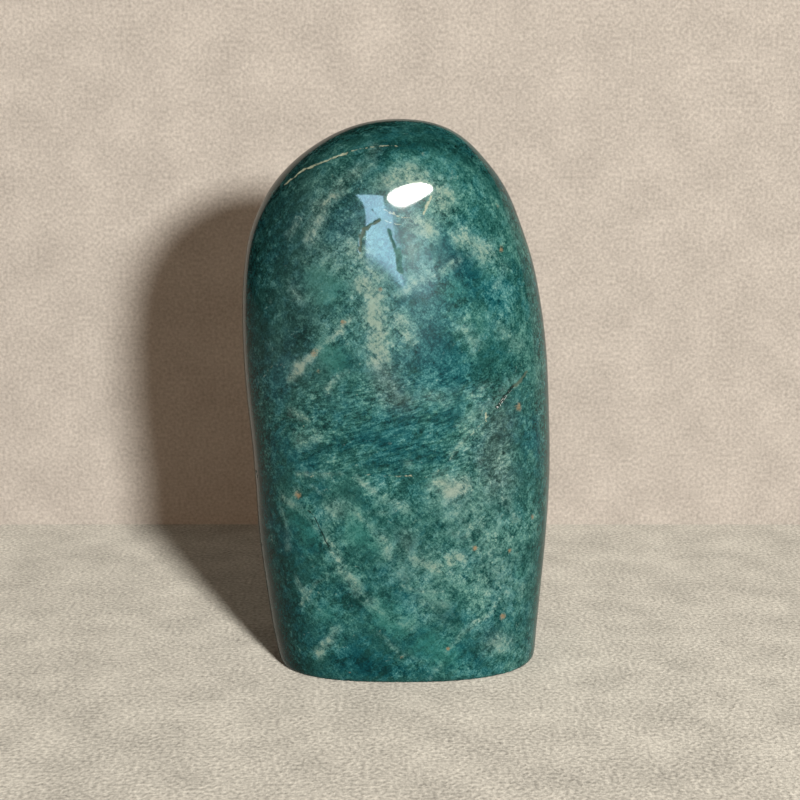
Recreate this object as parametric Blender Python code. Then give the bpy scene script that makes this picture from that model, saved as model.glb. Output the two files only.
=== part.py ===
"""Polished amazonite free-form: one standing piece of green-blue feldspar, ground to a rounded slab
with a domed top and sawn flat underneath.

Blender units are metres; +Z is up, +X is to the stone's right seen from the front, and -Y is its
front. The origin is on the plane of the sawn base, under the middle of the stone's box.
"""

import math

import bmesh
import bpy
import numpy as np
from mathutils import Vector, noise

MM = 0.001

# The belts of the stone, in millimetres: height above the sawn base; how far the belt reaches from
# the upright axis to the left, right, front and back; and then where its middle lies to the right of
# the axis and behind it. The front stands furthest forward over that middle, and the sides are widest
# beside it. The last belt is the crown, a single point.
BELTS = (
    (0.0, 33.3, 37.5, 20.0, 21.0, 1.5, 4.5),
    (0.7, 34.2, 38.2, 21.1, 22.0, 1.5, 4.5),
    (2.4, 34.8, 38.6, 21.9, 22.9, 1.4, 4.6),
    (9.0, 36.1, 39.3, 22.6, 24.0, 1.2, 4.8),
    (20.0, 37.6, 40.3, 23.3, 24.9, 1.0, 5.0),
    (34.0, 39.4, 41.1, 23.9, 25.5, 0.6, 5.0),
    (48.0, 40.5, 41.6, 24.3, 25.7, 0.2, 5.0),
    (62.0, 41.4, 41.7, 24.4, 25.5, -0.4, 5.0),
    (76.0, 42.4, 41.2, 24.3, 25.0, -1.2, 4.8),
    (90.0, 43.1, 40.1, 23.6, 24.1, -2.2, 4.4),
    (102.0, 43.3, 38.4, 22.8, 23.2, -3.2, 3.8),
    (113.0, 42.3, 36.1, 21.9, 22.2, -4.0, 3.2),
    (123.0, 39.7, 32.6, 21.1, 21.0, -4.3, 2.5),
    (128.0, 37.3, 30.6, 20.8, 20.3, -4.3, 2.1),
    (132.0, 35.0, 28.6, 20.5, 19.4, -4.1, 1.8),
    (136.0, 31.9, 26.0, 19.7, 18.1, -3.7, 1.5),
    (140.0, 27.9, 22.7, 18.0, 16.2, -3.2, 1.2),
    (145.5, 19.9, 16.9, 13.3, 12.2, -2.0, 0.8),
    (149.0, 11.2, 9.8, 7.2, 7.4, -0.9, 0.5),
    (150.3, 0.5, -0.5, -0.5, 0.5, -0.5, 0.5),
)
CROWN_HEIGHT = BELTS[-1][0]

# How square each corner of a belt is at the base, easing to the crown's: 2 is an ellipse, and larger
# values fill the corner out.
BASE_SQUARENESS = {"front_left": 2.9, "front_right": 2.4, "back_left": 2.6, "back_right": 2.8}
CROWN_SQUARENESS = 2.05

# The right rear corner of the base flares out into a low heel.
HEEL_REACH = 3.6
HEEL_HEIGHT = 26.0
HEEL_BEARING = math.radians(26.0)
HEEL_SPREAD = math.radians(17.0)

# Hand grinding leaves broad, very shallow flats and swells all over the surface.
SWELL_DEPTH = 0.55
SWELL_LENGTH = 34.0
SWELL_FADE_HEIGHT = 6.0

# Facets along X, Y and Z. The first rows above the base are close together, for its eased edge.
FACETS = (22, 18, 44)
BASE_ROWS = (0.0, 0.7, 1.5, 2.7, 4.6)
# The lid of the facet grid reaches this much further down at its four corners, in millimetres, which
# keeps the facets there square. The rows below follow it, less and less with this power of their place.
CORNER_DIP = 10.0
DIP_FADE = 6
# Width and depth that set how the facets are shared out around a belt.
GRID_HALF_WIDTH = 41.0
GRID_HALF_DEPTH = 25.0

# Only the edge of the sawn base is sharper than this, so only it is shaded as a crease.
CREASE_ANGLE = math.radians(35)

STONE_COLOUR = (0.055, 0.215, 0.19, 1.0)
STONE_ROUGHNESS = 0.16


def clear_scene():
    """Remove whatever the startup file holds."""
    for old in list(bpy.data.objects):
        bpy.data.objects.remove(old)


def natural_spline(knots, values):
    """Second derivatives of the smoothest curve through the values at the knots."""
    count = len(knots)
    steps = np.diff(knots)
    slopes = np.diff(values, axis=0) / steps[:, None]
    matrix = np.eye(count)
    right = np.zeros_like(values)
    for row in range(1, count - 1):
        matrix[row, row - 1] = steps[row - 1]
        matrix[row, row] = 2 * (steps[row - 1] + steps[row])
        matrix[row, row + 1] = steps[row]
        right[row] = 6 * (slopes[row] - slopes[row - 1])
    return np.linalg.solve(matrix, right)


class BeltCurve:
    """The belts as one smooth curve from the base to the crown."""

    def __init__(self, belts):
        rows = np.array(belts, dtype=float)
        # The reaches are taken from the middle of each belt instead of from the upright axis.
        rows[:, 1] += rows[:, 5]
        rows[:, 2] -= rows[:, 5]
        rows[:, 3] += rows[:, 6]
        rows[:, 4] -= rows[:, 6]
        # Each belt's distance along a mean outline, so that the curve turns evenly over the crown.
        outline = np.column_stack((rows[:, 0], rows[:, 1:5].mean(axis=1)))
        lengths = np.linalg.norm(np.diff(outline, axis=0), axis=1)
        self.knots = np.concatenate(([0.0], np.cumsum(lengths)))
        # The outline runs on over the crown and down the far side, which keeps the crown level.
        beyond = rows[-2:-6:-1].copy()
        beyond[:, 1:5] *= -1
        far_knots = 2 * self.knots[-1] - self.knots[-2:-6:-1]
        self.rows = np.vstack((rows, beyond))
        self.all_knots = np.concatenate((self.knots, far_knots))
        self.bends = natural_spline(self.all_knots, self.rows)

    def length(self):
        return self.knots[-1]

    def at(self, distance):
        """Height, the four reaches and the middle at a distance along the outline."""
        index = int(np.clip(np.searchsorted(self.all_knots, distance) - 1, 0, len(self.all_knots) - 2))
        left, right = self.all_knots[index], self.all_knots[index + 1]
        step = right - left
        a = (right - distance) / step
        b = (distance - left) / step
        bend = (a**3 - a) * self.bends[index] + (b**3 - b) * self.bends[index + 1]
        return a * self.rows[index] + b * self.rows[index + 1] + bend * step**2 / 6


def heel(bearing, height):
    """Extra reach of the heel at the right rear corner of the base."""
    if height >= HEEL_HEIGHT:
        return 0.0
    around = (bearing - HEEL_BEARING) / HEEL_SPREAD
    upward = 1 - height / HEEL_HEIGHT
    return HEEL_REACH * math.exp(-around * around) * upward * upward


def belt_point(curve, distance, direction):
    """The stone's surface at a distance along the outline, in a direction seen from above."""
    height, left, right, front, back, middle_x, middle_y = curve.at(distance)
    middle = Vector((middle_x, middle_y, height))
    bearing = math.atan2(direction.y, direction.x)
    side = "right" if direction.x >= 0 else "left"
    face = "back" if direction.y >= 0 else "front"
    reach_x = right if side == "right" else left
    reach_y = back if face == "back" else front
    if min(reach_x, reach_y) < 1e-6:
        return middle
    rise = height / CROWN_HEIGHT
    power = BASE_SQUARENESS[f"{face}_{side}"] * (1 - rise) + CROWN_SQUARENESS * rise
    across = abs(math.cos(bearing)) / reach_x
    deep = abs(math.sin(bearing)) / reach_y
    radius = (across**power + deep**power) ** (-1 / power) + heel(bearing, height)
    return middle + Vector((radius * math.cos(bearing), radius * math.sin(bearing), 0.0))


def row_distance(row, crown_start):
    """How far along the outline a row of facets begins, in millimetres."""
    close = len(BASE_ROWS) - 1
    if row <= close:
        return BASE_ROWS[row]
    return BASE_ROWS[-1] + (crown_start - BASE_ROWS[-1]) * (row - close) / (FACETS[2] - close)


def corner_dip(u, v):
    """How much lower the lid of the grid runs towards its corners."""
    most = max(abs(u), abs(v))
    if most < 1e-9:
        return 0.0
    return CORNER_DIP * (min(abs(u), abs(v)) / most) ** 2


def grid_box():
    """A cube of half-size 1 whose faces are cut into the facets."""
    bm = bmesh.new()
    bmesh.ops.create_cube(bm, size=2.0)
    for axis, count in enumerate(FACETS):
        along = []
        for edge in bm.edges:
            run = edge.verts[0].co - edge.verts[1].co
            if abs(run[axis]) > 1e-6:
                along.append(edge)
        bmesh.ops.subdivide_edges(bm, edges=along, cuts=count - 1, use_grid_fill=True)
    return bm


def shape_stone(bm):
    """Wrap the gridded box into the stone: its sides climb the belts and its lid becomes the crown."""
    curve = BeltCurve(BELTS)
    crown_share = (FACETS[0] + FACETS[1]) / 4
    crown_share /= crown_share + FACETS[2]
    crown_start = (1 - crown_share) * curve.length()
    for vert in bm.verts:
        u, v, w = vert.co
        share = max(abs(u), abs(v))
        direction = Vector((u * GRID_HALF_WIDTH, v * GRID_HALF_DEPTH))
        dip = corner_dip(u, v)
        if w > 1 - 1e-6:
            distance = curve.length() - share * (curve.length() - crown_start + dip)
            vert.co = belt_point(curve, distance, direction) * MM
        elif w < -1 + 1e-6:
            middle = Vector((BELTS[0][5], BELTS[0][6], 0.0))
            vert.co = middle.lerp(belt_point(curve, 0.0, direction), share) * MM
        else:
            row = round((w + 1) / 2 * FACETS[2])
            distance = row_distance(row, crown_start) - dip * (row / FACETS[2]) ** DIP_FADE
            vert.co = belt_point(curve, distance, direction) * MM


def add_swells(bm):
    """Push the surface in and out a little, less and less towards the sawn base."""
    bm.normal_update()
    moves = []
    for vert in bm.verts:
        height = vert.co.z / MM
        fade = min(1.0, max(0.0, height / SWELL_FADE_HEIGHT))
        swell = noise.noise(vert.co / (SWELL_LENGTH * MM))
        moves.append(vert.normal * (swell * SWELL_DEPTH * MM * fade))
    for vert, move in zip(bm.verts, moves):
        vert.co += move


def saw_base(bm):
    """Make the base one flat face."""
    bottom = [face for face in bm.faces if all(abs(vert.co.z) < 1e-7 for vert in face.verts)]
    bmesh.ops.dissolve_faces(bm, faces=bottom, use_verts=False)


def centre_on_origin(bm):
    """Put the middle of the stone's box over the origin."""
    for axis in (0, 1):
        low = min(vert.co[axis] for vert in bm.verts)
        high = max(vert.co[axis] for vert in bm.verts)
        shift = Vector((0.0, 0.0, 0.0))
        shift[axis] = -(low + high) / 2
        bmesh.ops.translate(bm, verts=bm.verts[:], vec=shift)


def stone_material():
    material = bpy.data.materials.new("polished_amazonite")
    material.use_nodes = True
    shader = material.node_tree.nodes["Principled BSDF"]
    shader.inputs["Base Color"].default_value = STONE_COLOUR
    shader.inputs["Roughness"].default_value = STONE_ROUGHNESS
    shader.inputs["Metallic"].default_value = 0.0
    return material


def make_stone():
    bm = grid_box()
    shape_stone(bm)
    add_swells(bm)
    saw_base(bm)
    centre_on_origin(bm)
    bmesh.ops.recalc_face_normals(bm, faces=bm.faces[:])
    mesh = bpy.data.meshes.new("amazonite_stone")
    bm.to_mesh(mesh)
    bm.free()
    mesh.shade_smooth()
    mesh.set_sharp_from_angle(angle=CREASE_ANGLE)
    stone = bpy.data.objects.new("amazonite_stone", mesh)
    stone.data.materials.append(stone_material())
    bpy.context.scene.collection.objects.link(stone)
    return stone


clear_scene()
make_stone()
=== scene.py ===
"""A polished amazonite free-form, standing on its sawn base in soft light."""

import math

import bmesh
import bpy
import numpy as np
from mathutils import Matrix, Vector, noise
from mathutils.bvhtree import BVHTree


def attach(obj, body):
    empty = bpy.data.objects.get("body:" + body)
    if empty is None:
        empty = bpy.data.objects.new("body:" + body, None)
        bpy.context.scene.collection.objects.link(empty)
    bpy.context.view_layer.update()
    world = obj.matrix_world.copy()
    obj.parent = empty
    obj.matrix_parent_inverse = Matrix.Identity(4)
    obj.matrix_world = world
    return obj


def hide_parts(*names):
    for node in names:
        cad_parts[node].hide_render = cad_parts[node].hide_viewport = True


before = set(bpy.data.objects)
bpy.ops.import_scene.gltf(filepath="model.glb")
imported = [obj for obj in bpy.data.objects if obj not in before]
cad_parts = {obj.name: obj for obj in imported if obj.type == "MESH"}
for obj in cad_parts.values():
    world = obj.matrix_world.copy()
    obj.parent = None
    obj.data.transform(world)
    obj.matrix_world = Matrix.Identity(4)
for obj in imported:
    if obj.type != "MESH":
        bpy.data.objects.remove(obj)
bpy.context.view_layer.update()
scene = bpy.context.scene
MM = 0.001


# The camera looks a little down at the front of the stone, from about two and a half times its
# height away. Its place and its lens are fitted to the stone's outline.
CAMERA_PLACE = (0.6 * MM, -379.2 * MM, 148.0 * MM)
CAMERA_TILT = 11.0

lens = bpy.data.cameras.new("camera")
lens.lens = 63.0
lens.sensor_width = 36.0
camera = bpy.data.objects.new("camera", lens)
camera.location = CAMERA_PLACE
camera.rotation_euler = (math.radians(90.0 - CAMERA_TILT), 0.0, 0.0)
scene.collection.objects.link(camera)
scene.camera = camera
scene.view_settings.view_transform = "Standard"


# The floor and the wall behind are one pale, felt-like cloth, laid flat and hung upright. Neither is
# part of the stone. The wall stands 134 mm behind the stone's middle, is clear when seen from its back,
# and has a weak warm painted glow of its own that lightens the stone's shadow on it.
FLOOR_HALF = 2.0
WALL_BACK = 134.3 * MM
WALL_HEIGHT = 0.215
WALL_WIDTH = 0.6
WALL_LEFT = -0.168
WALL_COLOUR = (0.600, 0.575, 0.548, 1.0)
# A weak warm glow painted on the wall: painted light that lightens the stone's shadow on it.
WALL_PAINTED_GLOW = (0.042, 0.024, 0.013, 1.0)
FLOOR_COLOUR = (0.54, 0.53, 0.49, 1.0)
NO_LIGHT = (0.0, 0.0, 0.0, 1.0)
# The tufts and the broad blotches of the cloth, per metre, and how much the blotches count.
TUFTS_PER_METRE = 900.0
BLOTCHES_PER_METRE = 60.0
BLOTCH_SHARE = 0.4
# The tufts are lighter and darker than this share of the cloth's colour by each cloth's contrast.
MEAN_SHADE = 0.97
WALL_CONTRAST = 0.26
FLOOR_CONTRAST = 0.46
# The polish reflects the cloth this much dimmer than it is.
DIMMED_IN_POLISH = 0.4


def wire(tree, kind, inputs=None, **settings):
    """A shader node with its settings, and each input set to a value or joined to a socket."""
    node = tree.nodes.new(kind)
    for name, value in settings.items():
        setattr(node, name, value)
    for key, value in (inputs or {}).items():
        if isinstance(value, bpy.types.NodeSocket):
            tree.links.new(value, node.inputs[key])
        else:
            node.inputs[key].default_value = value
    return node


def bare_material(name):
    """A new material whose tree holds only its output."""
    material = bpy.data.materials.new(name)
    material.use_nodes = True
    for node in list(material.node_tree.nodes):
        if node.type != "OUTPUT_MATERIAL":
            material.node_tree.nodes.remove(node)
    return material, material.node_tree, material.node_tree.nodes["Material Output"]


def cloth_material(name, colour, contrast, painted_glow, one_sided):
    """Felt in a colour, with tufts of a contrast and a weak painted glow of its own."""
    material, tree, output = bare_material(name)
    place = wire(tree, "ShaderNodeTexCoord")
    pile = wire(
        tree,
        "ShaderNodeTexNoise",
        {"Vector": place.outputs["Object"], "Scale": TUFTS_PER_METRE, "Detail": 3.0},
    )
    blotch = wire(
        tree,
        "ShaderNodeTexNoise",
        {"Vector": place.outputs["Object"], "Scale": BLOTCHES_PER_METRE, "Detail": 4.0},
    )
    both = wire(
        tree,
        "ShaderNodeMath",
        {0: blotch.outputs["Fac"], 1: BLOTCH_SHARE, 2: pile.outputs["Fac"]},
        operation="MULTIPLY_ADD",
    )
    shade = wire(
        tree,
        "ShaderNodeMapRange",
        {
            "Value": both.outputs["Value"],
            "From Min": 0.4,
            "From Max": 1.0,
            "To Min": MEAN_SHADE - contrast,
            "To Max": MEAN_SHADE + contrast,
        },
    )
    ray = wire(tree, "ShaderNodeLightPath")
    mirrored = wire(
        tree,
        "ShaderNodeMath",
        {0: ray.outputs["Is Glossy Ray"], 1: -DIMMED_IN_POLISH, 2: 1.0},
        operation="MULTIPLY_ADD",
    )
    shown = wire(
        tree,
        "ShaderNodeMath",
        {0: shade.outputs["Result"], 1: mirrored.outputs["Value"]},
        operation="MULTIPLY",
    )
    tint = wire(
        tree, "ShaderNodeVectorMath", {0: colour[:3], "Scale": shown.outputs["Value"]}, operation="SCALE"
    )
    nap = wire(
        tree, "ShaderNodeBump", {"Height": pile.outputs["Fac"], "Strength": 0.5, "Distance": 0.0006}
    )
    cloth = wire(
        tree,
        "ShaderNodeBsdfDiffuse",
        {"Color": tint.outputs["Vector"], "Roughness": 1.0, "Normal": nap.outputs["Normal"]},
    )
    # The cloth's own glow is painted light, not a lamp.
    glow = wire(tree, "ShaderNodeEmission", {"Color": painted_glow, "Strength": 1.0})
    lit = wire(
        tree, "ShaderNodeAddShader", {0: cloth.outputs["BSDF"], 1: glow.outputs["Emission"]}
    )
    surface = lit.outputs["Shader"]
    if one_sided:
        side = wire(tree, "ShaderNodeNewGeometry")
        clear = wire(tree, "ShaderNodeBsdfTransparent")
        mix = wire(
            tree,
            "ShaderNodeMixShader",
            {0: side.outputs["Backfacing"], 1: lit.outputs["Shader"], 2: clear.outputs["BSDF"]},
        )
        surface = mix.outputs["Shader"]
    tree.links.new(surface, output.inputs["Surface"])
    return material


def flat_sheet(name, half_width, half_height, material):
    """A level sheet of cloth around the origin, that is part of the stage."""
    mesh = bpy.data.meshes.new(name)
    bm = bmesh.new()
    bmesh.ops.create_grid(bm, x_segments=1, y_segments=1, size=1.0)
    bmesh.ops.scale(bm, vec=(half_width, half_height, 1.0), verts=bm.verts)
    bm.to_mesh(mesh)
    bm.free()
    mesh.materials.append(material)
    sheet = bpy.data.objects.new(name, mesh)
    scene.collection.objects.link(sheet)
    return sheet


floor_cloth = cloth_material("floor_cloth", FLOOR_COLOUR, FLOOR_CONTRAST, NO_LIGHT, False)
wall_cloth = cloth_material("wall_cloth", WALL_COLOUR, WALL_CONTRAST, WALL_PAINTED_GLOW, True)
flat_sheet("floor", FLOOR_HALF, FLOOR_HALF, floor_cloth)
wall = flat_sheet("wall", WALL_WIDTH / 2, WALL_HEIGHT / 2, wall_cloth)
wall.rotation_euler = (math.radians(90.0), 0.0, 0.0)
wall.location = (WALL_LEFT + WALL_WIDTH / 2, WALL_BACK, WALL_HEIGHT / 2)


# A warm lamp stands to the right of the camera. It is made of two lights: one lights the stone and
# casts the shadow to the left, and the other is only what the polish reflects, as the bright spot on
# the dome. Both face the front of the dome.
DOME = Vector((0.0, -0.02, 0.13))
LAMP_DISTANCE = 1.0
LAMP_COLOUR = (1.0, 0.94, 0.85)
SHINE_COLOUR = (1.0, 0.95, 0.88)


def towards(azimuth, elevation):
    """The direction at an azimuth right of the front and an elevation, both in degrees."""
    a, e = math.radians(azimuth), math.radians(elevation)
    return Vector((math.sin(a) * math.cos(e), -math.cos(a) * math.cos(e), math.sin(e)))


def soft_light(name, azimuth, elevation, size, power, colour, turn=0.0):
    """An oval light of a width, height and power in watts, turned about its line to the dome."""
    light = bpy.data.lights.new(name, "AREA")
    light.shape = "ELLIPSE"
    light.size, light.size_y = size
    light.energy = power
    light.color = colour
    lamp = bpy.data.objects.new(name, light)
    away = towards(azimuth, elevation)
    lamp.location = DOME + away * LAMP_DISTANCE
    facing = away.to_track_quat("Z", "Y").to_matrix().to_4x4()
    lamp.rotation_euler = (facing @ Matrix.Rotation(math.radians(turn), 4, "Z")).to_euler()
    scene.collection.objects.link(lamp)
    return lamp


lamp = soft_light("lamp", 21.5, 11.0, (0.13, 0.10), 13.0, LAMP_COLOUR)
lamp.visible_glossy = False
shine = soft_light("shine", 17.5, 14.5, (0.62, 0.26), 20.0, SHINE_COLOUR, turn=27.0)
shine.visible_diffuse = False


# A cool window behind the camera shows only as a reflection on the dome. Each pane is its strength
# and its corners, each an azimuth right of the front and an elevation, in degrees from the dome.
WINDOW_DISTANCE = 1.1
WINDOW_COLOUR = (0.48, 0.77, 1.0, 1.0)
WINDOW_PANES = (
    (20.0, ((-17.0, 13.0), (-0.2, 9.4), (0.3, 5.0), (0.9, 3.0), (3.8, 2.9), (4.6, 1.6), (-7.3, 1.6))),
    (7.0, ((0.3, 5.0), (1.0, 5.0), (6.0, 4.6), (6.0, 1.6), (4.6, 1.6), (3.8, 2.9), (0.9, 3.0))),
    (2.6, ((6.0, 4.6), (12.0, 5.2), (20.0, 7.2), (22.5, 5.0), (15.0, 2.4), (6.0, 1.6))),
)


def window_pane(strength, corners):
    """A glowing pane that only reflections see."""
    material, tree, output = bare_material("window_light")
    light = wire(tree, "ShaderNodeEmission", {"Color": WINDOW_COLOUR, "Strength": strength})
    tree.links.new(light.outputs["Emission"], output.inputs["Surface"])
    bm = bmesh.new()
    points = []
    for azimuth, elevation in corners:
        points.append(bm.verts.new(DOME + towards(azimuth, elevation) * WINDOW_DISTANCE))
    bm.faces.new(points)
    mesh = bpy.data.meshes.new("window")
    bm.to_mesh(mesh)
    bm.free()
    mesh.materials.append(material)
    pane = bpy.data.objects.new("window", mesh)
    scene.collection.objects.link(pane)
    pane.visible_camera = False
    pane.visible_diffuse = False
    pane.visible_shadow = False


for strength, corners in WINDOW_PANES:
    window_pane(strength, corners)


# The room beyond gives a weak, warm light from all around. The polish doesn't reflect it, so that the
# sides of the stone stay dark, and the camera sees it pale.
ROOM_LIGHT = (1.0, 0.78, 0.60, 1.0)
ROOM_STRENGTH = 0.17
ROOM_SEEN = (0.50, 0.46, 0.41, 1.0)

world = bpy.data.worlds.new("room")
world.use_nodes = True
room = world.node_tree
glow = room.nodes["Background"]
glow.inputs["Color"].default_value = ROOM_LIGHT
glow.inputs["Strength"].default_value = ROOM_STRENGTH
seen = wire(room, "ShaderNodeBackground", {"Color": ROOM_SEEN, "Strength": 1.0})
ray = wire(room, "ShaderNodeLightPath")
both = wire(
    room,
    "ShaderNodeMixShader",
    {
        0: ray.outputs["Is Camera Ray"],
        1: glow.outputs["Background"],
        2: seen.outputs["Background"],
    },
)
room.links.new(both.outputs["Shader"], room.nodes["World Output"].inputs["Surface"])
scene.world = world
world.cycles_visibility.glossy = False


# The stone is one piece of green-blue feldspar, sawn flat below, ground to a free form and polished.
# It stands on its sawn base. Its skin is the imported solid, rounded as polishing leaves it.
WELD = 0.01 * MM
BASE_FLATNESS = 0.001 * MM
ROUNDINGS = 2
OUTSIDE = 1.0

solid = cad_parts["amazonite_stone"]


def polished_skin(source):
    """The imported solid's skin as even quads, rounded twice, over one flat base."""
    bm = bmesh.new()
    bm.from_mesh(source.data)
    bmesh.ops.remove_doubles(bm, verts=bm.verts, dist=WELD)
    base = [face for face in bm.faces if all(vert.co.z < BASE_FLATNESS for vert in face.verts)]
    bmesh.ops.dissolve_faces(bm, faces=base)
    bmesh.ops.join_triangles(
        bm,
        faces=[face for face in bm.faces if len(face.verts) == 3],
        angle_face_threshold=math.radians(30.0),
        angle_shape_threshold=math.radians(60.0),
    )
    coarse = bpy.data.meshes.new("stone_coarse")
    bm.to_mesh(coarse)
    bm.free()
    blank = bpy.data.objects.new("stone_blank", coarse)
    scene.collection.objects.link(blank)
    rounding = blank.modifiers.new("rounding", "SUBSURF")
    rounding.levels = rounding.render_levels = ROUNDINGS
    graph = bpy.context.evaluated_depsgraph_get()
    skin = bpy.data.meshes.new_from_object(blank.evaluated_get(graph))
    bpy.data.objects.remove(blank)
    skin.name = "stone_skin"
    return skin


skin = polished_skin(solid)
skin_tree = BVHTree.FromPolygons(
    [vert.co for vert in skin.vertices], [tuple(face.vertices) for face in skin.polygons]
)


def on_stone(x, z, side="front"):
    """The point of the stone's front or back at x right of the base's middle and z above it, in mm."""
    start = -OUTSIDE if side == "front" else OUTSIDE
    inwards = Vector((0.0, -start, 0.0))
    hit = skin_tree.ray_cast(Vector((x * MM, start, z * MM)), inwards)[0]
    return np.array(hit if hit is not None else Vector((x * MM, 0.0, z * MM))) / MM


def distance_to(points, path, side="front"):
    """How far each point is from a path that lies on the stone, in mm."""
    line = [on_stone(x, z, side) for x, z in path]
    near = np.full(len(points), np.inf)
    for start, end in zip(line, line[1:] or line):
        run = end - start
        share = np.clip((points - start) @ run / max(run @ run, 1e-9), 0.0, 1.0)
        near = np.minimum(near, np.linalg.norm(points - start - share[:, None] * run, axis=1))
    return near


# How far apart two seeds of the noise lie, and how its finer waves fade and shrink.
SEED_STEP = (17.3, 5.1, 9.7)
WAVE_FADE = 0.9
WAVE_SHRINK = 2.0


def noise_at(points, size, seed, octaves=4):
    """Fractal noise around 0 at each point, with features of a size in mm."""
    shift = Vector([seed * step for step in SEED_STEP])
    return np.array(
        [noise.fractal(Vector(p) / size + shift, WAVE_FADE, WAVE_SHRINK, octaves) for p in points]
    )


def mesh_points(mesh):
    """The mesh's points in mm, one a row."""
    flat = np.empty(len(mesh.vertices) * 3, np.float32)
    mesh.vertices.foreach_get("co", flat)
    return flat.reshape(-1, 3).astype(float) / MM


def paint(mesh, name, values):
    """Keeps a value at each point of the mesh for the material to read."""
    layer = mesh.attributes.new(name, "FLOAT", "POINT")
    layer.data.foreach_set("value", values.astype(np.float32))


# Hairline cracks run through the feldspar, and polishing left a groove along each. Some are filled pale,
# faint or olive, some are open and dark, and a dull one is a shallow wedge that the polish missed. A few
# short pale ones are painted glints instead: bright reflections painted pale along shallow grooves. Each
# is its fill, its depth and half its width in mm, and its path as (x, z) in mm.
FRONT_CRACKS = (
    ("pale_and_glint", 0.30, 0.32, ((-29.6, 133.4), (-28.3, 134.4), (-26.4, 135.8), (-24.5, 137.3))),
    ("pale_and_glint", 0.36, 0.38, ((-24.5, 137.3), (-21.6, 138.4), (-20.2, 138.9), (-18.7, 139.6))),
    ("pale_and_glint", 0.34, 0.42, ((-18.7, 139.6), (-17.1, 140.4), (-15.3, 140.9), (-13.2, 141.7))),
    ("pale_and_glint", 0.10, 0.16, ((-11.7, 142.2), (-8.9, 142.9), (-6.6, 143.2), (-3.5, 143.5), (0.6, 143.5))),
    ("olive", 0.06, 0.36, ((-4.7, 125.0), (-6.5, 123.8), (-8.6, 122.5))),
    ("olive", 0.06, 0.62, ((-8.6, 122.5), (-9.2, 120.7), (-9.6, 119.0), (-9.7, 117.2))),
    ("dark", 0.04, 0.16, ((-8.0, 129.5), (-6.0, 126.9), (-5.1, 125.8))),
    ("pale_and_glint", 0.003, 0.13, ((-3.5, 127.8), (-1.3, 126.5), (1.9, 125.6))),
    ("pale_and_glint", 0.003, 0.13, ((-3.2, 125.0), (-0.9, 124.0), (1.2, 123.8))),
    ("pale_and_glint", 0.003, 0.11, ((-1.9, 127.3), (0.3, 125.7), (3.1, 125.6))),
    # A painted glint: a bright streak of reflection beside the bright spot on the dome, painted pale on
    # a shallow groove.
    ("pale_and_glint", 0.008, 0.30, ((8.5, 130.7), (7.5, 128.5), (6.5, 126.5))),
    ("dark", 0.45, 0.44, ((30.4, 81.0), (29.3, 80.1), (28.2, 78.9), (27.1, 77.4), (26.0, 76.2))),
    ("olive", 0.06, 0.40, ((34.2, 84.4), (32.6, 82.6), (30.4, 81.0))),
    ("dull", 0.012, 0.42, ((-2.4, 122.6), (-1.2, 119.6), (-0.2, 116.6), (0.4, 112.0))),
    ("dull", 0.012, 0.50, ((0.2, 117.5), (0.8, 115.0), (1.0, 111.8))),
    ("dark", 0.12, 0.20, ((-23.7, 48.8), (-22.4, 47.5), (-21.1, 45.2), (-19.5, 41.5), (-17.9, 38.3))),
    ("faint", 0.05, 0.16, ((-25.8, 57.3), (-17.7, 59.4), (-9.8, 59.4), (-1.5, 59.0), (8.4, 58.3))),
    ("faint", 0.08, 0.24, ((9.2, 58.6), (12.3, 61.9), (15.7, 65.5), (18.9, 69.1), (24.7, 75.0))),
    ("faint", 0.05, 0.16, ((-39.2, 78.4), (-35.6, 83.3), (-33.0, 86.6))),
    # Painted glints: three tiny bright reflections, each painted pale on a short shallow groove.
    ("pale_and_glint", 0.12, 0.18, ((-24.7, 72.9), (-24.7, 71.5))),
    ("pale_and_glint", 0.12, 0.18, ((23.1, 74.8), (23.1, 72.7))),
    ("pale_and_glint", 0.12, 0.18, ((1.1, 59.0), (3.5, 59.0))),
)
BACK_CRACKS = (
    ("pale_and_glint", 0.25, 0.32, ((-22.0, 118.0), (-15.5, 112.0), (-11.0, 109.5), (-4.0, 103.0), (1.0, 101.5))),
    ("dark", 0.15, 0.22, ((8.0, 66.0), (12.5, 58.5), (14.0, 51.0), (18.5, 45.0))),
    ("olive", 0.22, 0.30, ((-24.0, 38.0), (-19.5, 33.5), (-17.0, 27.0))),
)
# Small pits, and chips of the base's edge, each its depth and radius in mm and its place.
FRONT_PITS = (
    (0.35, 0.55, (-38.8, 55.7)),
    (0.35, 0.50, (-38.3, 54.4)),
    (0.15, 0.45, (29.2, 63.8)),
    (0.20, 0.40, (-37.5, 35.0)),
    (0.55, 1.00, (29.5, 0.9)),
    (0.50, 0.90, (31.2, 1.6)),
    (0.30, 0.60, (27.6, 0.5)),
)
BACK_PITS = (
    (0.30, 0.60, (17.0, 92.0)),
    (0.25, 0.45, (-28.0, 71.0)),
    (0.40, 0.80, (-20.0, 0.8)),
)
# Rusty grains of the front, each its strength, half its width in mm and its place.
RUST_SPOTS = (
    (0.80, 0.9, ((-26.5, 52.5),)),
    (1.00, 0.7, ((20.5, 38.5),)),
    (0.80, 0.7, ((30.0, 36.5),)),
    (0.95, 0.8, ((28.5, 18.0),)),
    (0.60, 0.7, ((36.5, 44.5),)),
    (0.50, 1.2, ((32.0, 75.5),)),
    (0.70, 0.7, ((-14.0, 99.0),)),
    (0.55, 1.0, ((-21.5, 91.0),)),
    (0.40, 0.7, ((-20.5, 86.0),)),
    (0.60, 0.8, ((27.0, 117.0),)),
    (0.50, 0.6, ((-4.5, 107.5),)),
    (0.45, 0.7, ((26.0, 128.0),)),
    (0.70, 0.6, ((13.5, 10.5),)),
    (0.70, 0.6, ((1.0, 8.0),)),
    (0.40, 0.4, ((-13.0, 3.5),)),
)
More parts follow.
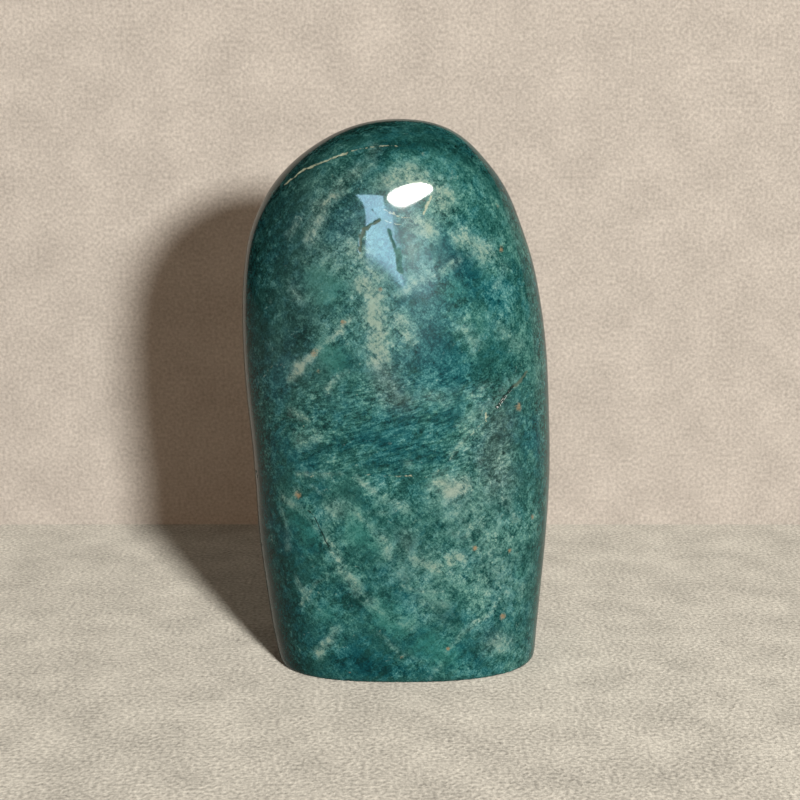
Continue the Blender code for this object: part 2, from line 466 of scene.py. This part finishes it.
# The skin is split within these distances of a fault, in mm, apart from faces of many corners, such
# as the base.
SPLIT_REACHES = (1.3, 0.6)
MOST_CORNERS = 20
# The edges of a fault wander by noise of this size and sway, in mm, and its width by a share.
SWAY_SIZE = 1.2
SWAY = 0.25
RAGGED_SIZE = 1.6
RAGGED = 0.9
# A filling reaches this many half-widths from its crack, and a faint one is this strong.
FILL_REACH = 1.5
FAINT = 0.5


def all_faults():
    """Every crack, pit and rusty grain as (fill, depth, half-width, path, side)."""
    for side, cracks, pits in (("front", FRONT_CRACKS, FRONT_PITS), ("back", BACK_CRACKS, BACK_PITS)):
        for fill, depth, half_width, path in cracks:
            yield fill, depth, half_width, path, side
        for depth, radius, place in pits:
            yield "open", depth, radius, (place,), side
    for _, radius, path in RUST_SPOTS:
        yield "grain", 0.0, radius, path, "front"


def refine_near_faults(mesh):
    """Splits the skin near the faults, twice, so that a groove a third of a mm wide has shape."""
    bm = bmesh.new()
    bm.from_mesh(mesh)
    for reach in SPLIT_REACHES:
        bm.edges.ensure_lookup_table()
        middles = np.array([(edge.verts[0].co + edge.verts[1].co) / 2 for edge in bm.edges]) / MM
        near = np.full(len(middles), False)
        for _, _, half_width, path, side in all_faults():
            near |= distance_to(middles, path, side) < half_width + reach
        split = [bm.edges[i] for i in np.flatnonzero(near)]
        bmesh.ops.subdivide_edges(
            bm, edges=split, cuts=1, smooth=0.0, use_grid_fill=True, use_single_edge=True
        )
    many_sided = [face for face in bm.faces if 4 < len(face.verts) < MOST_CORNERS]
    bmesh.ops.triangulate(bm, faces=many_sided)
    bm.to_mesh(mesh)
    bm.free()


def cut_faults(mesh):
    """Presses each crack and pit into the skin, and paints what fills it and the painted glints."""
    points = mesh_points(mesh)
    ragged = np.clip(1.0 + RAGGED * noise_at(points, RAGGED_SIZE, 21, 3), 0.4, 1.8)
    sway = np.column_stack([noise_at(points, SWAY_SIZE, seed) for seed in (22, 23, 24)])
    depth_cut = np.zeros(len(points))
    fills = {name: np.zeros(len(points)) for name in ("pale_and_glint", "olive", "dark", "dull")}
    for fill, depth, half_width, path, side in all_faults():
        away = distance_to(points + SWAY * sway, path, side) / (half_width * ragged)
        groove = np.clip(1.0 - away, 0.0, 1.0)
        groove = groove * groove * (3.0 - 2.0 * groove)
        depth_cut = np.maximum(depth_cut, depth * groove)
        cover = np.clip(FILL_REACH - away, 0.0, 1.0)
        if fill in fills:
            fills[fill] = np.maximum(fills[fill], cover)
        if fill == "faint":
            fills["pale_and_glint"] = np.maximum(fills["pale_and_glint"], FAINT * cover)
    normals = np.empty(len(points) * 3, np.float32)
    mesh.vertices.foreach_get("normal", normals)
    cut = points - depth_cut[:, None] * normals.reshape(-1, 3)
    mesh.vertices.foreach_set("co", (cut * MM).astype(np.float32).ravel())
    mesh.update()
    for fill, cover in fills.items():
        paint(mesh, fill + "_fill", cover)


refine_near_faults(skin)
cut_faults(skin)


# Under the polish the stone is mottled. Pale clouds, deep patches, blue patches, clear turquoise pools
# and grey haze lie where its front shows them. A few pale strokes round the bright spot on the dome are
# also a painted halo of that highlight. The deep strokes down the left edge and over the left shoulder
# are partly dark stone and partly painted shade on the side turned from the lamp. Each stroke is its
# strength, half its width in mm, and the (x, z) points in mm that it runs through. The sides and the
# back are mottled by noise.
PALE_CLOUDS_AND_HALO = (
    (0.40, 9.0, ((16.0, 50.0), (24.0, 38.0), (27.0, 28.0))),
    (0.30, 8.0, ((-9.0, 116.0), (-7.0, 104.0), (-6.0, 94.0))),
    (0.22, 7.0, ((2.0, 34.0), (10.0, 20.0))),
    (0.80, 0.7, ((-19.5, 129.0), (-18.0, 131.0), (-15.5, 131.5))),
    (0.40, 2.2, ((-5.5, 143.0), (-8.0, 139.0), (-11.5, 135.5), (-16.0, 131.5))),
    (0.50, 2.2, ((-19.5, 128.5), (-20.5, 124.5), (-22.0, 120.5))),
    (0.40, 1.4, ((-29.0, 121.5), (-25.0, 125.0))),
    (0.46, 6.1, ((-18.0, 112.0),)),
    (0.80, 3.4, ((-9.0, 108.5), (-6.0, 105.5), (-7.0, 101.5))),
    (0.95, 3.4, ((-6.5, 101.5), (-5.5, 97.5), (-5.0, 93.5), (-4.5, 90.0))),
    (0.50, 1.4, ((-4.5, 90.0), (-3.0, 86.5))),
    (0.62, 3.0, ((0.0, 99.5), (2.5, 95.0))),
    (0.30, 2.2, ((2.0, 111.0), (6.0, 111.5), (10.5, 113.5))),
    (0.50, 1.4, ((-0.5, 106.0), (7.0, 110.0), (15.5, 114.5))),
    (0.45, 5.0, ((-9.0, 110.0), (-5.0, 104.0), (-1.0, 98.0), (-4.0, 91.0))),
    (0.34, 8.0, ((3.0, 34.0), (14.0, 33.0))),
    (0.60, 3.6, ((-9.5, 117.0), (-6.0, 111.0))),
    (0.40, 0.7, ((33.0, 83.5), (26.0, 76.0), (20.0, 69.5), (14.0, 63.5), (9.0, 59.5))),
    (0.25, 2.0, ((21.0, 71.0), (15.0, 64.5))),
    # Pale cloud with a painted halo of the bright spot on the dome.
    (0.70, 3.0, ((-1.5, 135.0), (5.0, 136.0), (10.0, 132.5), (11.5, 128.0))),
    (0.75, 3.0, ((4.5, 124.5), (7.5, 122.5))),
    (0.65, 3.0, ((16.5, 121.0), (19.0, 119.0), (23.0, 116.0))),
    (0.35, 2.2, ((26.5, 113.5), (28.5, 111.5))),
    # Two more strokes of pale cloud with a painted halo of the bright spot on the dome.
    (0.65, 2.5, ((10.0, 133.0), (14.0, 130.5))),
    (0.65, 2.2, ((-0.5, 137.0), (3.5, 137.5), (7.0, 136.5))),
    (0.50, 0.8, ((-33.0, 103.5),)),
    (0.35, 2.2, ((-27.0, 107.5), (-25.5, 105.5))),
    (0.40, 1.4, ((25.0, 107.5), (26.5, 109.0))),
    (0.78, 1.2, ((-11.5, 100.0), (-16.5, 95.0), (-20.5, 91.5), (-24.5, 88.0), (-28.5, 84.0))),
    (0.60, 1.0, ((-13.0, 87.5), (-15.5, 84.5), (-17.5, 81.5))),
    (0.52, 1.2, ((-28.0, 75.0), (-24.0, 73.0))),
    (0.30, 0.7, ((-37.0, 88.5), (-34.0, 93.0))),
    (0.55, 1.1, ((-10.5, 58.0), (-7.0, 55.5))),
    (0.72, 2.5, ((10.5, 56.5), (14.0, 54.5), (17.5, 55.5))),
    (0.45, 0.8, ((33.0, 83.0), (27.0, 77.5), (19.0, 70.5), (16.5, 66.5), (11.5, 59.5))),
    (0.30, 2.2, ((31.0, 83.5), (24.5, 78.0), (17.0, 71.5))),
    (0.50, 0.7, ((-26.5, 58.0), (-21.0, 59.5), (-15.0, 60.0))),
    (0.40, 0.9, ((-23.0, 56.0), (-17.5, 52.5), (-10.5, 49.5), (-1.5, 48.5))),
    (0.70, 1.4, ((-26.5, 53.0),)),
    (0.50, 1.4, ((21.5, 61.5),)),
    (0.50, 1.2, ((2.5, 61.0),)),
    (0.58, 1.5, ((-11.0, 49.0), (-8.0, 45.5), (-5.0, 42.5), (-2.0, 37.5))),
    (0.62, 1.9, ((3.5, 36.0), (7.0, 34.5), (11.0, 33.0))),
    (0.66, 1.9, ((14.5, 35.5), (17.0, 36.5))),
    (0.50, 1.4, ((16.0, 48.5), (20.0, 44.0))),
    (0.50, 1.7, ((29.0, 50.5), (31.0, 46.0))),
    (0.55, 1.5, ((-30.0, 51.5), (-25.0, 48.0), (-21.0, 44.5), (-17.0, 38.0), (-14.5, 32.5))),
    (0.50, 1.9, ((-14.0, 32.5), (-11.0, 27.5), (-6.0, 22.0), (3.5, 17.0))),
    (0.62, 0.7, ((-18.0, 32.0), (-21.5, 29.0), (-24.0, 25.5), (-26.5, 21.0))),
    (0.52, 0.9, ((-24.0, 24.0), (-21.0, 21.0), (-18.0, 18.0))),
    (0.60, 1.4, ((-17.0, 15.5), (-19.5, 11.5), (-22.0, 8.0))),
    (0.40, 1.0, ((-5.0, 14.5), (0.5, 10.5), (7.0, 7.0))),
    (0.52, 1.0, ((8.5, 1.5), (13.5, 8.5), (17.5, 14.0), (24.0, 18.5), (29.5, 24.5))),
    (0.55, 2.2, ((26.0, 10.5), (30.5, 10.0))),
    (0.50, 0.8, ((0.0, 28.5), (5.0, 27.5), (11.0, 27.0))),
    (0.40, 1.1, ((-27.5, 30.0), (-25.0, 25.5))),
    (0.45, 1.2, ((-30.5, 47.5), (-29.5, 38.0))),
    (0.40, 2.5, ((6.0, 24.5), (11.5, 23.0))),
    (0.45, 2.5, ((21.5, 46.0), (24.5, 40.5))),
    (0.42, 2.8, ((27.5, 30.0), (33.5, 24.5))),
    (0.42, 2.2, ((-3.5, 52.5), (2.0, 50.5))),
    (0.40, 2.2, ((-18.0, 50.5), (-14.0, 47.0))),
    (0.40, 2.5, ((16.0, 97.0), (20.5, 93.0))),
    (0.36, 2.8, ((26.5, 96.5), (32.0, 92.0))),
    (0.40, 1.9, ((8.5, 80.5), (12.0, 78.5))),
    (0.34, 2.5, ((-25.5, 67.5), (-21.0, 69.0))),
    (0.36, 1.7, ((19.5, 80.0), (22.5, 82.0))),
)
# The long strokes down the left edge and over the left shoulder are partly dark stone and partly painted
# shade on the side turned from the lamp. The rest are dark patches of the stone.
DEEP_PATCHES_AND_SIDE_SHADE = (
    (1.00, 9.0, ((-38.0, 58.0), (-34.0, 34.0), (-32.0, 20.0), (-30.0, 4.0))),
    (0.35, 7.0, ((-18.0, 13.0), (-4.0, 12.0), (6.0, 11.0))),
    (0.40, 8.0, ((15.0, 86.0), (24.0, 80.0))),
    (0.50, 5.0, ((23.0, 86.0), (27.0, 80.0))),
    (0.35, 5.0, ((-9.0, 74.0), (6.0, 73.0))),
    (0.40, 4.0, ((1.0, 64.0), (14.0, 64.5))),
    (0.75, 9.0, ((-30.0, 130.0), (-35.0, 112.0), (-37.0, 96.0), (-37.0, 80.0), (-36.0, 62.0))),
    (0.40, 8.0, ((-24.0, 128.0), (-24.0, 116.0), (-28.0, 100.0))),
    (0.45, 7.0, ((-27.0, 82.0), (-28.0, 70.0))),
    (0.65, 7.0, ((-12.0, 136.0), (-15.0, 128.0))),
    (0.55, 5.0, ((2.0, 147.0), (14.0, 144.0), (24.0, 137.0), (30.0, 128.0))),
    (
        0.95,
        7.5,
        ((-34.0, 128.0), (-40.0, 110.0), (-41.5, 90.0), (-41.0, 60.0), (-38.0, 35.0), (-34.0, 10.0)),
    ),
    (0.95, 6.5, ((-30.0, 132.0), (-20.0, 144.0), (-5.0, 149.0))),
    (0.80, 3.0, ((-5.0, 142.0), (0.5, 144.0), (8.5, 144.5), (16.5, 142.0), (22.5, 137.5))),
    (0.55, 3.3, ((-25.5, 139.5), (-19.0, 142.5), (-12.5, 146.0))),
    (0.62, 3.6, ((-17.0, 125.0), (-13.5, 123.5))),
    (0.35, 2.5, ((-6.5, 138.0), (-4.0, 135.0))),
    (0.50, 1.7, ((-1.5, 127.0),)),
    (0.62, 3.6, ((12.5, 117.0), (16.5, 113.0), (18.5, 110.0))),
    (0.45, 2.8, ((21.5, 126.0), (24.5, 122.5))),
    (0.80, 4.1, ((-27.0, 101.0), (-24.5, 96.5), (-27.5, 91.5))),
    (0.50, 3.3, ((-33.0, 96.0), (-32.0, 85.0))),
    (0.55, 2.5, ((-14.0, 90.5), (-12.0, 88.0))),
    (0.62, 3.6, ((1.5, 88.5), (5.5, 90.5))),
    (0.60, 3.3, ((8.0, 96.5), (11.0, 94.0))),
    (0.60, 1.7, ((-32.0, 59.0), (-20.5, 65.0), (-9.5, 69.5), (0.5, 67.0))),
    (0.45, 1.4, ((-24.0, 59.5), (-20.5, 63.0))),
    (0.48, 1.9, ((-5.5, 62.5), (0.0, 60.5))),
    (0.45, 2.8, ((11.0, 73.5), (15.0, 74.0))),
    (0.45, 2.2, ((37.0, 71.0), (38.0, 62.5))),
    (0.35, 2.5, ((28.0, 90.5), (31.0, 86.5))),
    (0.50, 1.9, ((-13.5, 54.5), (-9.0, 52.5))),
    (0.62, 2.5, ((-26.5, 47.0), (-23.5, 43.0), (-21.0, 39.0))),
    (0.50, 1.7, ((-13.5, 36.0),)),
    (0.50, 2.8, ((-29.5, 35.0), (-27.5, 33.0))),
    (0.72, 3.3, ((-15.0, 27.5), (-12.0, 24.0))),
    (0.40, 2.2, ((-6.5, 37.0),)),
    (0.42, 2.5, ((0.5, 42.5), (4.0, 40.5))),
    (0.42, 2.2, ((1.5, 31.0),)),
    (0.50, 3.0, ((12.5, 21.0), (15.5, 18.5))),
    (0.35, 2.8, ((-0.5, 22.5),)),
    (0.80, 3.3, ((-16.0, 7.0), (-10.5, 7.5), (-5.5, 5.5), (0.5, 4.0))),
    (0.45, 2.2, ((5.5, 3.5),)),
    (0.50, 2.8, ((19.0, 9.5), (22.5, 7.0))),
    (0.42, 2.2, ((27.0, 15.5), (24.5, 13.5))),
    (0.50, 3.0, ((-29.5, 16.5), (-26.5, 12.5))),
    (0.42, 1.7, ((14.5, 43.5), (17.0, 41.5))),
    (0.40, 1.7, ((32.5, 66.5), (34.5, 63.0))),
    (0.40, 2.2, ((21.0, 135.0), (27.0, 129.5))),
)
BLUE_PATCHES = (
    (1.00, 7.5, ((8.5, 100.0), (7.0, 90.0))),
    (0.80, 6.0, ((12.0, 116.0), (4.0, 108.0))),
    (0.80, 3.9, ((-15.5, 124.0),)),
    (0.80, 5.0, ((-14.0, 6.5), (-3.5, 5.0))),
    (0.60, 4.4, ((0.0, 105.0),)),
    (0.60, 3.3, ((37.0, 65.5),)),
    (0.60, 4.4, ((-31.5, 82.0), (-32.5, 67.0))),
    (0.55, 8.3, ((-15.0, 71.0), (0.5, 68.5))),
    (0.60, 4.4, ((18.0, 112.5), (26.5, 104.0))),
)
CLEAR_POOLS = (
    (1.00, 4.6, ((-20.0, 110.0), (-18.0, 107.5))),
    (0.80, 3.4, ((-18.5, 91.5), (-15.5, 89.5))),
    (0.55, 4.0, ((14.0, 106.5),)),
    (0.60, 4.2, ((-26.0, 46.5), (-24.0, 42.0))),
    (0.60, 4.2, ((-13.0, 47.0), (-9.0, 43.0))),
    (0.60, 4.2, ((-4.0, 20.5), (1.0, 17.0))),
    (0.60, 4.0, ((-19.0, 20.0),)),
    (0.70, 4.6, ((8.0, 12.0), (14.0, 8.0))),
    (0.45, 3.6, ((33.0, 28.0),)),
)
GREY_HAZE = (
    (0.50, 12.0, ((-22.0, 128.0), (-24.0, 108.0), (-27.0, 92.0))),
    (0.45, 7.0, ((-6.0, 130.0), (-16.0, 118.0))),
    (0.85, 3.6, ((-3.5, 84.5), (0.0, 80.0))),
    (0.75, 5.5, ((27.0, 71.5), (25.0, 63.5), (27.0, 56.5))),
    (0.50, 3.9, ((15.0, 55.0),)),
    (0.40, 3.3, ((2.5, 41.5),)),
    (0.40, 3.3, ((25.0, 11.5),)),
    (0.40, 2.8, ((-15.0, 49.5),)),
)
# How fast a stroke fades out from its path: at its half-width, exp(-0.8) of it is left.
STROKE_FADE = 0.8
# The strokes' edges wander with noise of this size, by this much, in mm.
STIR_SIZE = 6.0
STIR = 1.3
# The noise of the back starts this far in front of the middle and is full after this depth, in mm.
BACK_STARTS = 12.0
BACK_DEPTH = 14.0


def laid_on(points, strokes):
    """How strongly the strokes cover each point, from 0 to 1."""
    cover = np.zeros(len(points))
    for strength, half_width, path in strokes:
        spread = distance_to(points, path) / half_width
        cover = np.maximum(cover, strength * np.exp(-STROKE_FADE * spread**2))
    return cover


def paint_mottling(mesh):
    """Paints the strokes on stirred points, so that their edges wander, and noise round the back."""
    points = mesh_points(mesh)
    stir = np.column_stack([noise_at(points, STIR_SIZE, seed) for seed in (1, 2, 3)])
    stirred = points + STIR * stir
    behind = np.clip((points[:, 1] + BACK_STARTS) / BACK_DEPTH, 0.0, 1.0)
    veil = noise_at(stirred, 13.0, 4)
    murk = noise_at(stirred, 16.0, 5)
    seam = 1.0 - np.abs(noise_at(stirred, 15.0, 8)) * 9.0
    cross = 1.0 - np.abs(noise_at(stirred, 11.0, 9)) * 11.0
    ridges = np.maximum(seam, cross) * np.clip(0.75 + veil * 1.6, 0.15, 1.0) * 0.65
    clouds = behind * np.clip(np.maximum(veil - 0.12, ridges), 0.0, 0.7)
    paint(mesh, "clouds", np.maximum(laid_on(stirred, PALE_CLOUDS_AND_HALO), clouds))
    depths = behind * np.clip(murk * 1.1, 0.0, 0.55)
    paint(mesh, "depths", np.maximum(laid_on(stirred, DEEP_PATCHES_AND_SIDE_SHADE), depths))
    blues = behind * np.clip(noise_at(points, 26.0, 6) * 1.3 + 0.15, 0.0, 0.9)
    paint(mesh, "blues", np.maximum(laid_on(stirred, BLUE_PATCHES), blues))
    paint(mesh, "haze", laid_on(stirred, GREY_HAZE))
    pools = behind * np.clip(noise_at(stirred, 12.0, 10) * 3.0 - 0.25, 0.0, 0.8)
    paint(mesh, "pools", np.maximum(laid_on(stirred, CLEAR_POOLS), pools))
    specks = np.clip(noise_at(points, 2.2, 7, 2) * 3.0 - 1.75, 0.0, 1.0)
    paint(mesh, "rust", np.maximum(laid_on(points, RUST_SPOTS), behind * specks))


paint_mottling(skin)


def maths(tree, operation, a, b=0.0):
    """One step of arithmetic on two sockets or values."""
    return wire(tree, "ShaderNodeMath", {0: a, 1: b}, operation=operation).outputs["Value"]


def add(tree, *terms):
    """The sum of any number of sockets and values."""
    total = terms[0]
    for term in terms[1:]:
        total = maths(tree, "ADD", total, term)
    return total


def times(tree, a, b):
    """One socket or value times another."""
    return maths(tree, "MULTIPLY", a, b)


def rise(tree, value, low, high, top=1.0):
    """A smooth rise from 0 at low to top at high."""
    return wire(
        tree,
        "ShaderNodeMapRange",
        {"Value": value, "From Min": low, "From Max": high, "To Min": 0.0, "To Max": top},
        interpolation_type="SMOOTHSTEP",
    ).outputs["Result"]


def grain(tree, spot, size, detail, roughness, twist=0.0):
    """Noise around 0 with features of a size in mm."""
    made = wire(
        tree,
        "ShaderNodeTexNoise",
        {
            "Vector": spot,
            "Scale": 1.0 / size,
            "Detail": detail,
            "Roughness": roughness,
            "Distortion": twist,
        },
    )
    return maths(tree, "SUBTRACT", made.outputs["Fac"], 0.5)


def fibres(tree, spot, size, length, lean, detail=5.0):
    """Noise drawn out to a length along lines that lean by degrees from level, seen from the front."""
    drawn = wire(
        tree,
        "ShaderNodeMapping",
        {
            "Vector": spot,
            "Rotation": (0.0, math.radians(lean), 0.0),
            "Scale": (length / size, 1.0, 1.0),
        },
        vector_type="TEXTURE",
    )
    return grain(tree, drawn.outputs["Vector"], size, detail, 0.7)


def shards(tree, spot, size, length, lean, rough):
    """Angular crystals, each with a lightness of its own, drawn out along the lean."""
    torn = wire(
        tree,
        "ShaderNodeTexNoise",
        {"Vector": spot, "Scale": 1.3 / size, "Detail": 3.0, "Roughness": 0.65},
    )
    swing = wire(
        tree,
        "ShaderNodeVectorMath",
        {0: torn.outputs["Color"], 1: (rough, rough, rough), 2: spot},
        operation="MULTIPLY_ADD",
    )
    drawn = wire(
        tree,
        "ShaderNodeMapping",
        {
            "Vector": swing.outputs["Vector"],
            "Rotation": (0.0, math.radians(lean), 0.0),
            "Scale": (length / size, 1.0, 1.0),
        },
        vector_type="TEXTURE",
    )
    cells = wire(
        tree,
        "ShaderNodeTexVoronoi",
        {"Vector": drawn.outputs["Vector"], "Scale": 1.0 / size, "Detail": 1.0, "Roughness": 0.6},
    )
    tint = wire(tree, "ShaderNodeSeparateColor", {"Color": cells.outputs["Color"]})
    return maths(tree, "SUBTRACT", tint.outputs["Red"], 0.5)


def painted(tree, name):
    """A value that is painted on the skin."""
    return wire(tree, "ShaderNodeAttribute", attribute_name=name).outputs["Fac"]


def ramp(tree, factor, stops):
    """A colour ramp through (place, colour) stops."""
    node = wire(tree, "ShaderNodeValToRGB", {"Fac": factor})
    bar = node.color_ramp
    while len(bar.elements) < len(stops):
        bar.elements.new(0.5)
    for element, (place, colour) in zip(bar.elements, stops):
        element.position = place
        element.color = (*colour, 1.0)
    return node.outputs["Color"]


def blend(tree, factor, under, over):
    """Lays one colour over another by a factor."""
    node = wire(tree, "ShaderNodeMix", data_type="RGBA", clamp_factor=True)
    for key, value in ((0, factor), (6, under), (7, over)):
        if isinstance(value, bpy.types.NodeSocket):
            tree.links.new(value, node.inputs[key])
        else:
            node.inputs[key].default_value = value if key == 0 else (*value, 1.0)
    return node.outputs[2]


# The feldspar's shades from its darkest crystals to its palest, each with its place between them,
# where the stone is green and where it is blue.
GREEN_SHADES = (
    (0.05, (0.004, 0.027, 0.026)),
    (0.25, (0.010, 0.064, 0.061)),
    (0.42, (0.029, 0.128, 0.119)),
    (0.60, (0.088, 0.240, 0.214)),
    (0.78, (0.205, 0.372, 0.318)),
    (0.98, (0.400, 0.500, 0.430)),
)
BLUE_SHADES = (
    (0.05, (0.002, 0.028, 0.036)),
    (0.25, (0.005, 0.066, 0.082)),
    (0.42, (0.020, 0.128, 0.144)),
    (0.60, (0.074, 0.240, 0.250)),
    (0.78, (0.200, 0.380, 0.370)),
    (0.98, (0.400, 0.530, 0.500)),
)
MILKY = (0.190, 0.335, 0.312)
CREAM = (0.400, 0.430, 0.315)
CLEAR_TURQUOISE = (0.032, 0.195, 0.172)
RUSTY = (0.33, 0.21, 0.11)
# The pale filling, which is also the colour of the painted glints.
PALE_FILLING_AND_GLINTS = (0.42, 0.46, 0.34)
OLIVE_FILLING = (0.075, 0.112, 0.088)
OPEN_CRACK = (0.006, 0.016, 0.014)
DULL_WEDGE = (0.020, 0.100, 0.085)
SAWN_FACE = (0.13, 0.22, 0.19)
# How much of the surface the clear polish covers, and how deep its unevenness is.
POLISH = 0.6
UNEVENNESS = 0.04 * MM


def polished_amazonite():
    """Mottled green-blue feldspar under a clear polish. Its patterns are laid out in mm."""
    material, tree, output = bare_material("polished_amazonite_look")
    place = wire(tree, "ShaderNodeTexCoord")
    spot = wire(
        tree, "ShaderNodeVectorMath", {0: place.outputs["Object"], "Scale": 1.0 / MM}, operation="SCALE"
    ).outputs["Vector"]
    # The crystals: grains of four sizes, fibres, and two sorts of shards.
    broad = grain(tree, spot, 24.0, 2.0, 0.5)
    patch = grain(tree, spot, 6.0, 4.0, 0.52, 0.8)
    crystal = grain(tree, spot, 2.2, 4.0, 0.62, 0.7)
    fleck = grain(tree, spot, 0.5, 2.0, 0.7, 0.3)
    level = fibres(tree, spot, 0.7, 2.8, -14.0)
    slanted = fibres(tree, spot, 0.8, 2.2, -45.0)
    crossed = fibres(tree, spot, 0.8, 2.2, 40.0)
    rising = shards(tree, spot, 1.6, 3.2, -40.0, 2.2)
    falling = shards(tree, spot, 1.1, 2.6, 48.0, 1.6)
    shard = add(tree, rising, falling)
    # A belt across the middle has level fibres, and the rest has fibres that cross.
    height = wire(tree, "ShaderNodeSeparateXYZ", {"Vector": spot}).outputs["Z"]
    wander = add(tree, height, times(tree, patch, 30.0))
    belt = times(tree, rise(tree, wander, 54.0, 60.0), rise(tree, wander, 92.0, 80.0))
    weave = times(tree, add(tree, slanted, crossed), maths(tree, "SUBTRACT", 1.0, belt))
    busy = rise(tree, grain(tree, spot, 13.0, 3.0, 0.6), -0.08, 0.10)
    # Thin veins run along two directions and come and go.
    rib = maths(tree, "ABSOLUTE", fibres(tree, spot, 6.0, 13.0, -42.0, 3.0))
    rung = maths(tree, "ABSOLUTE", fibres(tree, spot, 6.0, 11.0, 50.0, 3.0))
    veins = maths(tree, "MAXIMUM", rise(tree, rib, 0.045, 0.0), rise(tree, rung, 0.040, 0.0))
    veins = times(tree, veins, rise(tree, add(tree, patch, times(tree, crystal, 0.8)), -0.06, 0.14))
    # The fine grain of the stone, and what breaks up the edges of its painted patches.
    fine = add(
        tree,
        times(tree, crystal, 0.20),
        times(tree, fleck, 0.84),
        times(tree, times(tree, level, belt), 1.3),
        times(tree, weave, 0.45),
        times(tree, shard, 0.14),
    )
    fine = times(tree, fine, add(tree, times(tree, busy, 0.30), 0.78))
    crumbs = add(
        tree,
        times(tree, crystal, 0.8),
        times(tree, patch, 0.8),
        times(tree, weave, 0.7),
        times(tree, fleck, 0.5),
        times(tree, shard, 0.16),
    )
    curdle = add(
        tree,
        0.95,
        times(tree, crystal, 1.1),
        times(tree, patch, 1.1),
        times(tree, weave, 1.2),
        times(tree, fleck, 0.5),
        times(tree, shard, 0.38),
    )
    # The painted clouds, with a painted halo of the bright spot among them, the depths, with painted
    # shade of the left side among them, and the pools set how light the stone is.
    pool = painted(tree, "pools")
    cloud_and_halo = add(tree, times(tree, painted(tree, "clouds"), curdle), times(tree, pool, -0.35))
    milk = add(tree, cloud_and_halo, times(tree, crumbs, 0.4))
    deep_and_shaded = rise(tree, add(tree, painted(tree, "depths"), times(tree, crumbs, 0.7)), 0.10, 0.85)
    tone = add(
        tree,
        0.300,
        times(tree, broad, 0.14),
        times(tree, patch, 0.28),
        fine,
        times(tree, veins, 0.09),
        times(tree, rise(tree, milk, 0.0, 0.9), 0.11),
        times(tree, deep_and_shaded, -0.18),
    )
    green = ramp(tree, tone, GREEN_SHADES)
    blue = ramp(tree, tone, BLUE_SHADES)
    hue = rise(
        tree,
        add(
            tree,
            times(tree, painted(tree, "blues"), 0.6),
            times(tree, grain(tree, spot, 16.0, 3.0, 0.6), 1.7),
            times(tree, crystal, 0.8),
            times(tree, rising, 0.45),
        ),
        -0.10,
        0.75,
    )
    colour = blend(tree, hue, green, blue)
    colour = blend(tree, rise(tree, milk, 0.05, 0.90, 0.36), colour, MILKY)
    creamy = rise(tree, add(tree, cloud_and_halo, times(tree, fine, 0.9)), 0.50, 1.35, 0.40)
    colour = blend(tree, creamy, colour, CREAM)
    clear = rise(tree, add(tree, pool, times(tree, crumbs, 0.7)), 0.20, 0.90, 0.45)
    colour = blend(tree, clear, colour, CLEAR_TURQUOISE)
    greyed = wire(
        tree, "ShaderNodeHueSaturation", {"Saturation": 0.4, "Value": 0.95, "Color": colour}
    ).outputs["Color"]
    colour = blend(tree, times(tree, painted(tree, "haze"), 0.6), colour, greyed)
    rust = painted(tree, "rust")
    crusted = add(tree, rust, times(tree, fleck, 1.4), times(tree, crystal, 1.2))
    rusty = times(tree, rise(tree, crusted, 0.15, 0.95, 0.75), rise(tree, rust, 0.02, 0.25))
    colour = blend(tree, rusty, colour, RUSTY)
    # The cracks: what fills them, with the painted glints among the pale fillings, and where the polish
    # is missing, as it is on the sawn base.
    crumbly = add(tree, painted(tree, "pale_and_glint_fill"), fleck, times(tree, crystal, 2.2))
    colour = blend(tree, rise(tree, crumbly, 0.35, 1.0, 0.7), colour, PALE_FILLING_AND_GLINTS)
    olive = add(tree, painted(tree, "olive_fill"), times(tree, fleck, 0.6))
    colour = blend(tree, rise(tree, olive, 0.3, 0.8, 0.9), colour, OLIVE_FILLING)
    dark = add(tree, painted(tree, "dark_fill"), times(tree, fleck, 0.6))
    colour = blend(tree, rise(tree, dark, 0.3, 0.9, 0.85), colour, OPEN_CRACK)
    wedge = painted(tree, "dull_fill")
    dull = rise(tree, add(tree, wedge, painted(tree, "olive_fill")), 0.3, 0.9)
    colour = blend(tree, times(tree, wedge, 0.5), colour, DULL_WEDGE)
    ground = rise(tree, height, 0.25, 0.05)
    colour = blend(tree, times(tree, ground, 0.55), colour, SAWN_FACE)
    missing = maths(tree, "MAXIMUM", dull, ground)
    polish = maths(tree, "SUBTRACT", POLISH, times(tree, missing, POLISH))
    bump = wire(
        tree,
        "ShaderNodeBump",
        {
            "Height": add(tree, fleck, times(tree, crystal, 0.6)),
            "Strength": 0.25,
            "Distance": UNEVENNESS,
        },
    )
    surface = wire(
        tree,
        "ShaderNodeBsdfPrincipled",
        {
            "Base Color": colour,
            "Roughness": add(tree, 0.24, times(tree, ground, 0.45)),
            "Specular IOR Level": 0.06,
            "Coat Weight": polish,
            "Coat Roughness": 0.05,
            "Coat IOR": 1.5,
            "Normal": bump.outputs["Normal"],
        },
    )
    tree.links.new(surface.outputs["BSDF"], output.inputs["Surface"])
    return material


# The finished skin takes the place of the solid, on the stone's only body.
skin.materials.clear()
skin.materials.append(polished_amazonite())
skin.shade_smooth()
stone = bpy.data.objects.new("polished_stone", skin)
scene.collection.objects.link(stone)
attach(stone, "root")
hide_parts("amazonite_stone")
